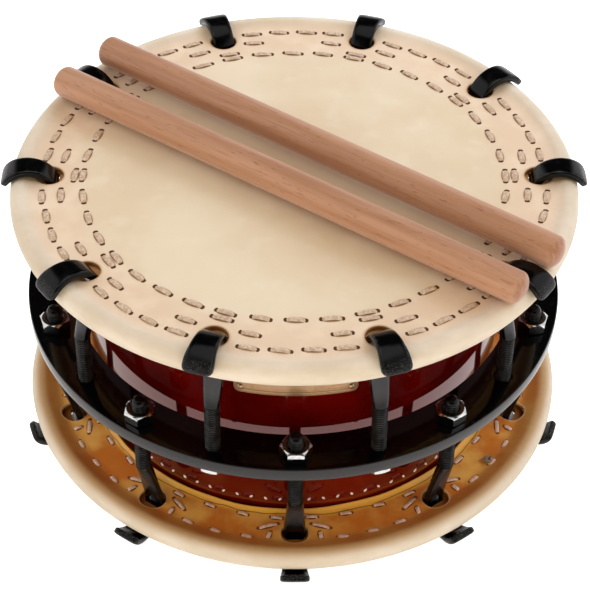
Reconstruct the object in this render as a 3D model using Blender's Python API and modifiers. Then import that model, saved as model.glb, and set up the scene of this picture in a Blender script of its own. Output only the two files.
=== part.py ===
"""Shime-daiko tensioned by hook bolts, with a pair of drumsticks laid across its upper head.

Metres, +Z up. The origin is on the drum's axis at the underside of the lower hooks, on which the drum
stands. The front, with the nameplate, faces -Y.
"""
import math

import bmesh
import bpy
from mathutils import Matrix, Vector

# Driving dimensions of the two heads
HEAD_RADIUS = 0.175
RING_SPACING = 0.1586
RING_WIRE_RADIUS = 0.0035
HIDE_THICKNESS = 0.0032
HIDE_SLACK = 0.0004
STITCHED_LEVEL = 0.0045
LAP_SLIT = 0.0004
FLAT_EDGE_RADIUS = 0.158
LAP_EDGE_RADIUS = 0.133
HOOK_HOLE_CIRCLE = 0.1508
HOOK_HOLE_DEPTH = 0.0172
HOOK_HOLE_WIDTH = 0.0172

# Driving dimensions of the shell and the flange
BELLY_RADIUS = 0.1347
MOUTH_RADIUS = 0.1306
MOUTH_ROUNDING = 0.003
BEARING_EDGE_RADIUS = 0.117
BORE_RADIUS = 0.112
BEVEL_DEPTH = 0.010
FLANGE_INNER_RADIUS = 0.1413
FLANGE_OUTER_RADIUS = 0.1705
FLANGE_THICKNESS = 0.0087
FLANGE_DROP = 0.00255
FLANGE_HOLE_RADIUS = 0.0059

# Driving dimensions of the hook bolts (M10) and their nuts
BOLTS_PER_HEAD = 10
BOLT_CIRCLE = 0.1572
ROD_RADIUS = 0.0048
ROD_LENGTH = 0.101
THREAD_LENGTH = 0.0576
THREAD_CHAMFER = 0.0012
HOOK_REACH = 0.0134
LOWER_HOOK_DROP = 0.0036
ARCH_RADIUS = 0.1641
ARCH_HALF_SPAN = 0.016
ARCH_RISE = 0.0137
STRAP_NECK_WIDTH = 0.0115
STRAP_NECK_THICKNESS = 0.0058
STRAP_HOLE_WIDTH = 0.0138
STRAP_TIP_WIDTH = 0.0184
HOLE_THICKNESS = 0.0047
CROWN_THICKNESS = 0.0052
TIP_THICKNESS = 0.0046
TIP_CHAMFER = 0.0008
TIP_END_WIDTH = 0.0115
NUT_ACROSS_FLATS = 0.017
NUT_HEIGHT = 0.008
NUT_BORE_RADIUS = 0.0053

# Driving dimensions of the nameplate and its pins
PLATE_WIDTH = 0.074
PLATE_HEIGHT = 0.030
PLATE_BOTTOM = 0.1240
PLATE_THICKNESS = 0.0007
PIN_INSET = 0.0042
PIN_HEAD_RADIUS = 0.0019
PIN_HEAD_HEIGHT = 0.0009
PIN_SHANK_RADIUS = 0.0007
PIN_HOLE_RADIUS = 0.0011
PIN_LENGTH = 0.009

# Driving dimensions of the drumsticks
STICK_LENGTH = 0.347
STICK_RADIUS = 0.010
STICK_END_ROUNDING = 0.006
STICK_HEADINGS = {"drumstick_front": math.radians(-36.0), "drumstick_back": math.radians(-36.6)}
STICK_SHIFTS = {"drumstick_front": 0.0019, "drumstick_back": 0.0033}
STICK_OFFSETS = {"drumstick_front": -0.0211, "drumstick_back": 0.0200}

# Gaps between neighbouring pieces and roundness of the solids
GAP = 0.0003
MERGE = 0.00005
HEAD_STEPS = 40
WIRE_SIDES = 8
STICK_STEPS = 16
SMALL_STEPS = 12
PIN_STEPS = 8

# Angles round a hook's arch at which its strap is shaped; it has a flat facet on its crown
CROWN_FACET = 8
HOOK_ANGLES = (190, 165, 140, 117, 90 + CROWN_FACET, 90 - CROWN_FACET, 60, 46, 33)
TIP_ANGLE = 20
STRAP_SQUARENESS = 5

# Heights that follow from the driving dimensions; the lower hooks stand a little farther off their rim
LOWER_RING_Z = HOOK_REACH + LOWER_HOOK_DROP
UPPER_RING_Z = LOWER_RING_Z + RING_SPACING
MIDDLE_Z = (LOWER_RING_Z + UPPER_RING_Z) / 2
FLANGE_Z = MIDDLE_Z - FLANGE_DROP
RIM_RADIUS = RING_WIRE_RADIUS + HIDE_SLACK + HIDE_THICKNESS
RING_RADIUS = HEAD_RADIUS - RIM_RADIUS
SHELL_HALF_HEIGHT = RING_SPACING / 2 + STITCHED_LEVEL - HIDE_THICKNESS - GAP
STICK_Z = UPPER_RING_Z + RIM_RADIUS + GAP + STICK_RADIUS

# Turn of the first bolt of each head about Z: the lower bolts stand between the upper ones
BOLT_PITCH = 2 * math.pi / BOLTS_PER_HEAD
UPPER_PHASE = 0.0
LOWER_PHASE = BOLT_PITCH / 2


def new_collection(name):
    """A collection linked to the scene."""
    group = bpy.data.collections.new(name)
    bpy.context.scene.collection.children.link(group)
    return group


def finish(name, colour, roughness, metallic=0.0):
    """A plain Principled material of one colour."""
    material = bpy.data.materials.new(name)
    material.use_nodes = True
    shader = material.node_tree.nodes["Principled BSDF"]
    shader.inputs["Base Color"].default_value = (*colour, 1.0)
    shader.inputs["Roughness"].default_value = roughness
    shader.inputs["Metallic"].default_value = metallic
    return material


def mesh_from(name, shape):
    """A mesh datablock from a bmesh, which is freed."""
    mesh = bpy.data.meshes.new(name)
    shape.to_mesh(mesh)
    shape.free()
    return mesh


def add_part(name, mesh, material):
    """An object of the drum with its material."""
    if not mesh.materials:
        mesh.materials.append(material)
    piece = bpy.data.objects.new(name, mesh)
    parts.objects.link(piece)
    return piece


def add_turned(name, profile, material, steps, closed=True):
    """A turned piece: (radius, height) points down the outer side, swept round Z by a Screw modifier."""
    shape = bmesh.new()
    points = [shape.verts.new((radius, 0.0, height)) for radius, height in profile]
    for first, second in zip(points, points[1:]):
        shape.edges.new((first, second))
    if closed:
        shape.edges.new((points[-1], points[0]))
    piece = add_part(name, mesh_from(name, shape), material)
    screw = piece.modifiers.new("Turn", "SCREW")
    screw.axis = "Z"
    screw.angle = 2 * math.pi
    screw.steps = steps
    screw.render_steps = steps
    screw.use_merge_vertices = True
    screw.merge_threshold = MERGE
    return piece


def add_cylinder(shape, place, radius, length, steps):
    """A cylinder with smooth walls and flat ends, its axis along the Z of its place."""
    made = bmesh.ops.create_cone(shape, cap_ends=True, segments=steps, radius1=radius, radius2=radius,
                                 depth=length, matrix=place)
    for face in {face for vert in made["verts"] for face in vert.link_faces}:
        face.smooth = len(face.verts) == 4


def drill(piece, name, places, radius, length, steps):
    """Holes of one size cut through a piece, each centred on its place, and the cutter that makes them."""
    shape = bmesh.new()
    for place in places:
        add_cylinder(shape, place, radius, length, steps)
    cutter = bpy.data.objects.new(name, mesh_from(name, shape))
    cutters.objects.link(cutter)
    cutter.hide_render = True
    cutter.display_type = "WIRE"
    cut(piece, cutter)
    return cutter


def cut(piece, cutter):
    """Boolean difference."""
    boolean = piece.modifiers.new(cutter.name, "BOOLEAN")
    boolean.operation = "DIFFERENCE"
    boolean.solver = "EXACT"
    boolean.object = cutter


def arc(centre, radius, first, last, count):
    """Points on a circle in the (radius, height) plane, from one angle in degrees to another."""
    angles = [math.radians(first + (last - first) * i / (count - 1)) for i in range(count)]
    return [(centre + radius * math.cos(a), radius * math.sin(a)) for a in angles]


def bolt_angles(phase):
    """Angles about Z of the ten bolts of one head."""
    return [phase + i * BOLT_PITCH for i in range(BOLTS_PER_HEAD)]


def upright(radius, height, angles):
    """Upright places round the drum's axis."""
    return [Matrix.Translation((radius * math.cos(a), radius * math.sin(a), height)) for a in angles]


def shell_radius(height):
    """Outer radius of the barrelled shell at a height."""
    part_way = (height - MIDDLE_Z) / SHELL_HALF_HEIGHT
    return BELLY_RADIUS - (BELLY_RADIUS - MOUTH_RADIUS) * part_way ** 2


def build_shell(material):
    """A hollow barrel turned from wood: full at the belly, with a bearing edge at each mouth."""
    flank = SHELL_HALF_HEIGHT - MOUTH_ROUNDING
    heights = [MIDDLE_Z + flank * share for share in (1, 2 / 3, 1 / 3, 0, -1 / 3, -2 / 3, -1)]
    top = MIDDLE_Z + SHELL_HALF_HEIGHT
    bottom = MIDDLE_Z - SHELL_HALF_HEIGHT
    profile = [(BEARING_EDGE_RADIUS, top), (MOUTH_RADIUS - MOUTH_ROUNDING, top)]
    profile += [(shell_radius(height), height) for height in heights]
    profile += [(MOUTH_RADIUS - MOUTH_ROUNDING, bottom), (BEARING_EDGE_RADIUS, bottom)]
    profile += [(BORE_RADIUS, bottom + BEVEL_DEPTH), (BORE_RADIUS, top - BEVEL_DEPTH)]
    return add_turned("shell", profile, material, HEAD_STEPS)


def head_profile(side):
    """Half section of a head, hide only: over the ring, round it and back underneath as an open lap."""
    under_top = STITCHED_LEVEL - HIDE_THICKNESS
    lap_top = under_top - LAP_SLIT
    lap_bottom = lap_top - HIDE_THICKNESS
    points = [(0.0, STITCHED_LEVEL), (FLAT_EDGE_RADIUS, STITCHED_LEVEL)]
    points += arc(RING_RADIUS, RIM_RADIUS, 130, -130, 9)
    points += [(FLAT_EDGE_RADIUS, lap_bottom), (LAP_EDGE_RADIUS, lap_bottom), (LAP_EDGE_RADIUS, lap_top)]
    points += [(FLAT_EDGE_RADIUS, lap_top)]
    points += arc(RING_RADIUS, RIM_RADIUS - HIDE_THICKNESS, -140, 140, 9)
    points += [(FLAT_EDGE_RADIUS, under_top), (0.0, under_top)]
    if side > 0:
        return [(radius, UPPER_RING_Z + height) for radius, height in points]
    return [(radius, LOWER_RING_Z - height) for radius, height in reversed(points)]


def build_head(name, side, ring_z, phase, hide_material, iron_material):
    """One head: the hide with its ten hook holes, and the iron ring inside its rolled rim."""
    skin = add_turned(name + "_skin", head_profile(side), hide_material, HEAD_STEPS, closed=False)
    oblong = Matrix.Diagonal((1.0, HOOK_HOLE_WIDTH / HOOK_HOLE_DEPTH, 1.0, 1.0))
    half_step = Matrix.Rotation(math.pi / SMALL_STEPS, 4, "Z")
    hole = Matrix.Translation((HOOK_HOLE_CIRCLE, 0.0, ring_z)) @ oblong @ half_step
    places = [Matrix.Rotation(angle, 4, "Z") @ hole for angle in bolt_angles(phase)]
    drill(skin, name + "_hole_cutter", places, HOOK_HOLE_DEPTH / 2, 4 * RIM_RADIUS, SMALL_STEPS)
    bpy.ops.mesh.primitive_torus_add(major_radius=RING_RADIUS, minor_radius=RING_WIRE_RADIUS,
                                     major_segments=HEAD_STEPS, minor_segments=WIRE_SIDES)
    torus = bpy.context.object
    torus.data.shade_smooth()
    ring = add_part(name + "_ring", torus.data, iron_material)
    bpy.data.objects.remove(torus)
    ring.location.z = ring_z


def build_flange(material):
    """A flat steel ring with a clearance hole for every bolt."""
    shape = bmesh.new()
    add_cylinder(shape, Matrix.Identity(4), FLANGE_OUTER_RADIUS, FLANGE_THICKNESS, HEAD_STEPS)
    flange = add_part("tension_flange", mesh_from("tension_flange", shape), material)
    flange.location.z = FLANGE_Z
    through = 3 * FLANGE_THICKNESS
    middle = [Matrix.Translation((0.0, 0.0, FLANGE_Z))]
    drill(flange, "flange_bore_cutter", middle, FLANGE_INNER_RADIUS, through, HEAD_STEPS)
    places = upright(BOLT_CIRCLE, FLANGE_Z, bolt_angles(UPPER_PHASE) + bolt_angles(LOWER_PHASE))
    drill(flange, "flange_hole_cutter", places, FLANGE_HOLE_RADIUS, through, SMALL_STEPS)


def section(centre, outward, thickness, width, squareness):
    """Points round a hook's cross-section, from a circle (squareness 2) to a strap with rounded edges."""
    power = 2 / squareness
    points = []
    for i in range(SMALL_STEPS):
        angle = 2 * math.pi * (i + 0.5) / SMALL_STEPS
        across = math.copysign(abs(math.cos(angle)) ** power, math.cos(angle)) / 2
        along = math.copysign(abs(math.sin(angle)) ** power, math.sin(angle)) / 2
        point = centre + outward * (across * thickness)
        points.append((point.x, along * width, point.z))
    return points


def strap_place(degrees):
    """Centre of a hook's strap at an angle round its elliptical arch, and the direction out of the arch."""
    angle = math.radians(degrees)
    centre = Vector((ARCH_HALF_SPAN * math.cos(angle), 0.0, ARCH_RISE * math.sin(angle)))
    outward = Vector((math.cos(angle) / ARCH_HALF_SPAN, 0.0, math.sin(angle) / ARCH_RISE))
    return centre, outward.normalized()


def strap_section(middle, degrees):
    """Cross-section of the strap on its arch: thickest at the crown, widest at the tip."""
    centre, outward = strap_place(degrees)
    drawn_out = (abs(degrees - 90) - CROWN_FACET) / (HOOK_ANGLES[0] - 90 - CROWN_FACET)
    end_thickness = HOLE_THICKNESS if degrees > 90 else TIP_THICKNESS
    thickness = CROWN_THICKNESS + (end_thickness - CROWN_THICKNESS) * drawn_out
    share = (HOOK_ANGLES[0] - degrees) / (HOOK_ANGLES[0] - TIP_ANGLE)
    width = STRAP_HOLE_WIDTH + (STRAP_TIP_WIDTH - STRAP_HOLE_WIDTH) * share
    if degrees == TIP_ANGLE:
        thickness -= 2 * TIP_CHAMFER
        width = TIP_END_WIDTH
    return section(middle + centre, outward, thickness, width, STRAP_SQUARENESS)


def hook_sections():
    """Cross-sections of a hook bolt from the threaded end to the blunt tip, about its own rod axis."""
    inward = Vector((-1.0, 0.0, 0.0))
    rod = 2 * ROD_RADIUS
    end = rod - 2 * THREAD_CHAMFER
    face = math.cos(math.pi / SMALL_STEPS) ** (2 / STRAP_SQUARENESS)
    crown, up = strap_place(90 - CROWN_FACET)
    crown_height = crown.z + up.z * face * CROWN_THICKNESS / 2
    middle = Vector((ARCH_RADIUS - BOLT_CIRCLE, 0.0, HOOK_REACH - crown_height))
    neck = Vector((0.0, 0.0, THREAD_LENGTH - ROD_LENGTH))
    foot = middle + strap_place(HOOK_ANGLES[0])[0]
    lean = (foot - neck).normalized()
    rows = [section(Vector((0, 0, -ROD_LENGTH)), inward, end, end, 2),
            section(Vector((0, 0, THREAD_CHAMFER - ROD_LENGTH)), inward, rod, rod, 2),
            section(neck, inward, rod, rod, 2),
            section(neck.lerp(foot, 0.5), Vector((-lean.z, 0.0, lean.x)), STRAP_NECK_THICKNESS,
                    STRAP_NECK_WIDTH, 4)]
    return rows + [strap_section(middle, degrees) for degrees in HOOK_ANGLES + (TIP_ANGLE,)]


def hook_mesh():
    """A hook bolt lofted through its cross-sections, with the origin on the rod's axis."""
    shape = bmesh.new()
    rows = [[shape.verts.new(point) for point in row] for row in hook_sections()]
    for lower, upper in zip(rows, rows[1:]):
        for i in range(SMALL_STEPS):
            j = (i + 1) % SMALL_STEPS
            shape.faces.new((lower[i], lower[j], upper[j], upper[i])).smooth = True
    shape.faces.new(reversed(rows[0]))
    shape.faces.new(rows[-1])
    bmesh.ops.recalc_face_normals(shape, faces=shape.faces)
    return mesh_from("hook_bolt", shape)


def nut_mesh():
    """A hexagon nut with a plain clearance bore, standing on its origin."""
    shape = bmesh.new()
    corner = NUT_ACROSS_FLATS / 2 / math.cos(math.pi / 6)
    bmesh.ops.create_circle(shape, segments=6, radius=corner)
    bmesh.ops.create_circle(shape, segments=SMALL_STEPS, radius=NUT_BORE_RADIUS)
    filled = bmesh.ops.triangle_fill(shape, use_beauty=True, edges=shape.edges)
    base = [item for item in filled["geom"] if isinstance(item, bmesh.types.BMFace)]
    raised = bmesh.ops.extrude_face_region(shape, geom=base)
    tops = [item for item in raised["geom"] if isinstance(item, bmesh.types.BMVert)]
    bmesh.ops.translate(shape, vec=(0.0, 0.0, NUT_HEIGHT), verts=tops)
    bmesh.ops.recalc_face_normals(shape, faces=shape.faces)
    return mesh_from("hex_nut", shape)


def build_bolts(steel_material, nut_material):
    """Ten hook bolts a head, each with its nut against the far side of the flange."""
    hook = hook_mesh()
    nut = nut_mesh()
    under_flange = FLANGE_Z - FLANGE_THICKNESS / 2 - GAP - NUT_HEIGHT
    on_flange = FLANGE_Z + FLANGE_THICKNESS / 2 + GAP
    rows = [("upper", UPPER_PHASE, UPPER_RING_Z, 0.0, under_flange),
            ("lower", LOWER_PHASE, HOOK_REACH, math.pi, on_flange)]
    for head, phase, hook_z, turned_over, nut_z in rows:
        for number, angle in enumerate(bolt_angles(phase), start=1):
            x = BOLT_CIRCLE * math.cos(angle)
            y = BOLT_CIRCLE * math.sin(angle)
            bolt = add_part(f"{head}_hook_bolt_{number:02d}", hook, steel_material)
            bolt.location = (x, y, hook_z)
            bolt.rotation_euler = (turned_over, 0.0, angle)
            piece = add_part(f"{head}_nut_{number:02d}", nut, nut_material)
            piece.location = (x, y, nut_z)
            piece.rotation_euler.z = angle


def plate_point(across, height, lift):
    """A point lifted off the shell's front, at a distance round from its middle line."""
    radius = shell_radius(height) + lift
    angle = across / BELLY_RADIUS - math.pi / 2
    return Vector((radius * math.cos(angle), radius * math.sin(angle), height))


def pin_places():
    """Where the nameplate's pins go into the shell, their Z pointing out of it."""
    places = []
    for across in (PIN_INSET - PLATE_WIDTH / 2, PLATE_WIDTH / 2 - PIN_INSET):
        for height in (PLATE_BOTTOM + PIN_INSET, PLATE_BOTTOM + PLATE_HEIGHT - PIN_INSET):
            turn = Matrix.Rotation(across / BELLY_RADIUS - math.pi / 2, 4, "Z")
            outwards = turn @ Matrix.Rotation(math.pi / 2, 4, "Y")
            places.append(Matrix.Translation(plate_point(across, height, 0.0)) @ outwards)
    return places


def build_nameplate(shell, material):
    """A thin bare plate bent to the shell and nailed on by a pin at each corner."""
    shape = bmesh.new()
    bmesh.ops.create_grid(shape, x_segments=8, y_segments=2, size=0.5)
    for vert in shape.verts:
        height = PLATE_BOTTOM + PLATE_HEIGHT * (vert.co.y + 0.5)
        vert.co = plate_point(PLATE_WIDTH * vert.co.x, height, GAP)
    plate = add_part("nameplate", mesh_from("nameplate", shape), material)
    wall = plate.modifiers.new("Plate", "SOLIDIFY")
    wall.thickness = PLATE_THICKNESS
    wall.offset = 1.0
    places = pin_places()
    hole_length = 2 * (PIN_LENGTH + GAP)
    cut(plate, drill(shell, "pin_hole_cutter", places, PIN_HOLE_RADIUS, hole_length, PIN_STEPS))
    seat = 2 * GAP + PLATE_THICKNESS
    dome = [(0.0, seat + PIN_HEAD_HEIGHT), (0.6 * PIN_HEAD_RADIUS, seat + 0.8 * PIN_HEAD_HEIGHT)]
    shank = [(PIN_SHANK_RADIUS, seat), (PIN_SHANK_RADIUS, 2 * PIN_SHANK_RADIUS - PIN_LENGTH)]
    profile = dome + [(PIN_HEAD_RADIUS, seat)] + shank + [(0.0, -PIN_LENGTH)]
    for number, place in enumerate(places, start=1):
        pin = add_turned(f"nameplate_pin_{number}", profile, material, PIN_STEPS, closed=False)
        pin.matrix_world = place


def build_sticks(material):
    """Two plain turned sticks, resting on the rim on either side of two opposite hooks."""
    shoulder = STICK_LENGTH / 2 - STICK_END_ROUNDING
    bends = [math.radians(degrees) for degrees in (0, 22.5, 45, 67.5, 90)]
    top = [(STICK_RADIUS * math.sin(bend), shoulder + STICK_END_ROUNDING * math.cos(bend)) for bend in bends]
    profile = top + [(radius, -height) for radius, height in reversed(top)]
    for name, heading in STICK_HEADINGS.items():
        along = Vector((math.cos(heading), math.sin(heading), 0.0))
        aside = Vector((-along.y, along.x, 0.0))
        stick = add_turned(name, profile, material, STICK_STEPS, closed=False)
        lie = along * STICK_SHIFTS[name] + aside * STICK_OFFSETS[name]
        stick.location = lie + Vector((0.0, 0.0, STICK_Z))
        stick.rotation_euler = (0.0, math.pi / 2, heading)


for old in list(bpy.data.objects):
    bpy.data.objects.remove(old)
parts = new_collection("shime_daiko")
cutters = new_collection("cutters")

lacquer = finish("red_lacquer", (0.07, 0.006, 0.005), 0.12)
hide = finish("cow_hide", (0.80, 0.66, 0.48), 0.55)
iron = finish("ring_iron", (0.08, 0.075, 0.07), 0.6, 0.8)
black_steel = finish("black_steel", (0.012, 0.012, 0.013), 0.25)
bright_steel = finish("bright_steel", (0.75, 0.75, 0.76), 0.12, 1.0)
brass = finish("brass", (0.66, 0.47, 0.25), 0.3, 1.0)
beech = finish("beech", (0.58, 0.33, 0.20), 0.5)

drum_shell = build_shell(lacquer)
build_head("upper_head", 1, UPPER_RING_Z, UPPER_PHASE, hide, iron)
build_head("lower_head", -1, LOWER_RING_Z, LOWER_PHASE, hide, iron)
build_flange(black_steel)
build_bolts(black_steel, bright_steel)
build_nameplate(drum_shell, brass)
build_sticks(beech)
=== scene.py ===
"""A bolt-tensioned shime-daiko with two drumsticks laid across it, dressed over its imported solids.

Metres, +Z up, the front at -Y. The drum stands at height 0 on the crowns of its lower hooks.
"""
import math
import random

import bmesh
import bpy
from mathutils import Matrix, Vector
from mathutils.geometry import interpolate_bezier


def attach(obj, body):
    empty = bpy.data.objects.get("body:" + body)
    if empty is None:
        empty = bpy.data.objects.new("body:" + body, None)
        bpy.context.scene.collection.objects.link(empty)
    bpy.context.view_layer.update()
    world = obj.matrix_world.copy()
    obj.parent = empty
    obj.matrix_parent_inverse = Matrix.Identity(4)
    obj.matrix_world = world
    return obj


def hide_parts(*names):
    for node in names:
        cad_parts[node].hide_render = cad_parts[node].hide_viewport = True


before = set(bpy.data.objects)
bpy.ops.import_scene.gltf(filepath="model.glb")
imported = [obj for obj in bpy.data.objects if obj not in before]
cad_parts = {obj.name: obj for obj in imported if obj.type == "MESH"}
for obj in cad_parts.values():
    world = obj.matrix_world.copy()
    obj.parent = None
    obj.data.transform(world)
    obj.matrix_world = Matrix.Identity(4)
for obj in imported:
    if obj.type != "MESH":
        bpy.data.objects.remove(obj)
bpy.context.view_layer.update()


# Shell
# A tube turned from wood, a little fuller at the belly and bevelled inside to a bearing edge at each
# mouth. Its outside is lacquered a deep maroon and polished. The two heads hold it between them.

MIDDLE_Z = 0.0963
SHELL_HALF_HEIGHT = 0.0803
BELLY_RADIUS = 0.1347
MOUTH_RADIUS = 0.1306
MOUTH_ROUNDING = 0.003
BEARING_EDGE_RADIUS = 0.117
BORE_RADIUS = 0.112
BEVEL_DEPTH = 0.010
FLANK_STEPS = 24
TURNING_STEPS = 180


class Shade:
    """A value, colour or vector in a finish's nodes; sums and products of it add Math nodes."""

    def __init__(self, tree, socket=None):
        self.tree = tree
        self.socket = socket

    def node(self, kind, settings=None, sockets=None, output=0):
        """Adds a node, with its settings first and then a value or a link for each socket."""
        made = self.tree.nodes.new("ShaderNode" + kind)
        for name, value in (settings or {}).items():
            setattr(made, name, value)
        for name, value in (sockets or {}).items():
            if isinstance(value, Shade):
                self.tree.links.new(value.socket, made.inputs[name])
            else:
                made.inputs[name].default_value = value
        return Shade(self.tree, made.outputs[output])

    def sum(self, operation, *values):
        return self.node("Math", {"operation": operation}, dict(enumerate(values)))

    def __add__(self, other):
        return self.sum("ADD", self, other)

    def __sub__(self, other):
        return self.sum("SUBTRACT", self, other)

    def __rsub__(self, other):
        return self.sum("SUBTRACT", other, self)

    def __mul__(self, other):
        return self.sum("MULTIPLY", self, other)

    def __truediv__(self, other):
        return self.sum("DIVIDE", self, other)

    def __pow__(self, other):
        return self.sum("POWER", self, other)

    def __abs__(self):
        return self.sum("ABSOLUTE", self)

    __radd__ = __add__
    __rmul__ = __mul__


def paint(red, green, blue):
    """A colour off a paint chart, 0 to 255, as the shader takes it."""
    return tuple((part / 255) ** 2.2 for part in (red, green, blue)) + (1.0,)


def new_finish(name):
    """A material, its shader and the object's own coordinates."""
    material = bpy.data.materials.new(name)
    material.use_nodes = True
    tree = material.node_tree
    return material, tree.nodes["Principled BSDF"], Shade(tree).node("TexCoord", output="Object")


def lay_on(shader, **layers):
    """Sets or links the shader's sockets; an underscore stands for a space in a socket's name."""
    for name, layer in layers.items():
        socket = shader.inputs[name.replace("_", " ")]
        if isinstance(layer, Shade):
            layer.tree.links.new(layer.socket, socket)
        else:
            socket.default_value = layer


def axes_of(where):
    """The three coordinates of a place."""
    return [where.node("SeparateXYZ", sockets={"Vector": where}, output=axis) for axis in "XYZ"]


def out_from_axis(where):
    """How far a place lies from the drum's axis."""
    x, y, _ = axes_of(where)
    return (x * x + y * y) ** 0.5


def mottle(where, scale, detail=2.0, length=(1.0, 1.0, 1.0), heading=0.0):
    """Soft patches from 0 to 1, so many to a metre, drawn out along axes that are turned about Z."""
    laid = where.node("Mapping", {"vector_type": "TEXTURE"},
                      {"Vector": where, "Rotation": (0.0, 0.0, heading), "Scale": length})
    return where.node("TexNoise", sockets={"Vector": laid, "Scale": scale, "Detail": detail})


def fade(value, low, high):
    """A soft step from 0 at the low value to 1 at the high one."""
    return value.node("MapRange", {"interpolation_type": "SMOOTHSTEP"},
                      {"Value": value, "From Min": low, "From Max": high})


def blend(mask, under, over):
    """One colour laid over another where the mask is 1."""
    return mask.node("Mix", {"data_type": "RGBA"}, {0: mask, 6: under, 7: over}, output=2)


def relief(height, depth, strength=1.0):
    """A normal for a height from 0 to 1 that is so deep."""
    return height.node("Bump", sockets={"Strength": strength, "Distance": depth, "Height": height})


def turned(profile, steps=TURNING_STEPS, closed=False):
    """A shape turned on the Z axis from (radius, height) points."""
    shape = bmesh.new()
    points = [shape.verts.new((radius, 0.0, height)) for radius, height in profile]
    lines = [shape.edges.new(pair) for pair in zip(points, points[1:])]
    if closed:
        lines.append(shape.edges.new((points[-1], points[0])))
    bmesh.ops.spin(shape, geom=points + lines, cent=(0, 0, 0), axis=(0, 0, 1), angle=2 * math.pi,
                   steps=steps, use_merge=True)
    bmesh.ops.remove_doubles(shape, verts=shape.verts, dist=0.00001)
    bmesh.ops.recalc_face_normals(shape, faces=shape.faces)
    return shape


def mesh_of(name, shape, finishes, crease=35):
    """A mesh with smooth faces and sharp creases from a bmesh, which is freed."""
    mesh = bpy.data.meshes.new(name)
    shape.to_mesh(mesh)
    shape.free()
    for finish in finishes:
        mesh.materials.append(finish)
    mesh.shade_smooth()
    mesh.set_sharp_from_angle(angle=math.radians(crease))
    return mesh


def fit_piece(name, mesh, body, slot, *nodes):
    """Puts a piece on its body, in place of the solids that it stands for."""
    piece = bpy.data.objects.new(name, mesh)
    bpy.context.scene.collection.objects.link(piece)
    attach(piece, body)
    if nodes:
        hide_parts(*nodes)
    return piece


def shell_radius(height):
    """Outer radius of the barrelled shell at a height."""
    share = (height - MIDDLE_Z) / SHELL_HALF_HEIGHT
    return BELLY_RADIUS - (BELLY_RADIUS - MOUTH_RADIUS) * share ** 2


def rounded(start, corner, end, count):
    """A corner of a profile rounded off between two of its points."""
    first, middle, last = (Vector((*point, 0.0)) for point in (start, corner, end))
    curve = interpolate_bezier(first, first.lerp(middle, 0.6), last.lerp(middle, 0.6), last, count)
    return [(point.x, point.y) for point in curve]


shell_top = MIDDLE_Z + SHELL_HALF_HEIGHT
shell_bottom = MIDDLE_Z - SHELL_HALF_HEIGHT
flank_step = 2 * (SHELL_HALF_HEIGHT - MOUTH_ROUNDING) / FLANK_STEPS
flank = [shell_top - MOUTH_ROUNDING - i * flank_step for i in range(FLANK_STEPS + 1)]
shell_profile = [(BORE_RADIUS, shell_top - BEVEL_DEPTH), (BEARING_EDGE_RADIUS, shell_top)]
shell_profile += rounded((MOUTH_RADIUS - MOUTH_ROUNDING, shell_top), (MOUTH_RADIUS, shell_top),
                         (shell_radius(flank[0]), flank[0]), 6)
shell_profile += [(shell_radius(height), height) for height in flank[1:-1]]
shell_profile += rounded((shell_radius(flank[-1]), flank[-1]), (MOUTH_RADIUS, shell_bottom),
                         (MOUTH_RADIUS - MOUTH_ROUNDING, shell_bottom), 6)
shell_profile += [(BEARING_EDGE_RADIUS, shell_bottom), (BORE_RADIUS, shell_bottom + BEVEL_DEPTH)]

lacquer, shader, where = new_finish("red_lacquer")
depth_of_red = blend(fade(mottle(where, 22, 3), 0.3, 0.7), paint(72, 9, 5), paint(97, 14, 8))
dust = fade(mottle(where, 900, 1), 0.70, 0.78) * fade(mottle(where, 40), 0.45, 0.6)
coat = blend(dust * 0.15, depth_of_red, paint(150, 80, 70))
bare_wood = blend(mottle(where, 60, 3, (1, 1, 10)), paint(176, 128, 84), paint(206, 160, 112))
outside = fade(out_from_axis(where), BEARING_EDGE_RADIUS + 0.0004, BEARING_EDGE_RADIUS + 0.0008)
lay_on(shader, Base_Color=blend(outside, bare_wood, coat), IOR=1.9,
       Specular_Tint=(1.0, 0.52, 0.52, 1.0),
       Roughness=0.6 - 0.57 * outside + 0.04 * mottle(where, 70),
       Normal=relief(mottle(where, 26, 1), 0.0016, 0.04))

shell_mesh = mesh_of("lacquered_shell", turned(shell_profile, closed=True), [lacquer])
fit_piece("lacquered_shell", shell_mesh, "drum", "red_lacquer", "shell")


# Pegs
# A row of small pale pegs let into the lacquer round the shell, just above the lower head. They lean to
# and fro by turns.

PEGS = 92
PEG_Z = 0.0292
PEG_SIZE = (0.0007, 0.0008, 0.0014)
PEG_LEAN = math.radians(38)

peg_finish, shader, where = new_finish("pale_peg")
lay_on(shader, Base_Color=blend(mottle(where, 500, 2), paint(240, 214, 204), paint(254, 242, 236)),
       Roughness=0.35 + 0.1 * mottle(where, 800))
pegs = bmesh.new()
for peg in range(PEGS):
    place = Matrix.Rotation(peg * 2 * math.pi / PEGS, 4, "Z")
    place = place @ Matrix.Translation((shell_radius(PEG_Z), 0, PEG_Z))
    lean = PEG_LEAN if peg % 2 else -PEG_LEAN
    place = place @ Matrix.Rotation(lean, 4, "X") @ Matrix.Diagonal((*PEG_SIZE, 1.0))
    bmesh.ops.create_icosphere(pegs, subdivisions=2, radius=1.0, matrix=place)
fit_piece("shell_pegs", mesh_of("shell_pegs", pegs, [peg_finish]), "drum", "cow_hide")


# Heads
# Two discs of thick cow hide, each lapped round an iron ring, turned back underneath and sewn to
# itself. The lap is left amber and varnished, and its edge is turned up against the shell. Ten holes
# inside the rim let the hook bolts through.

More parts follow.
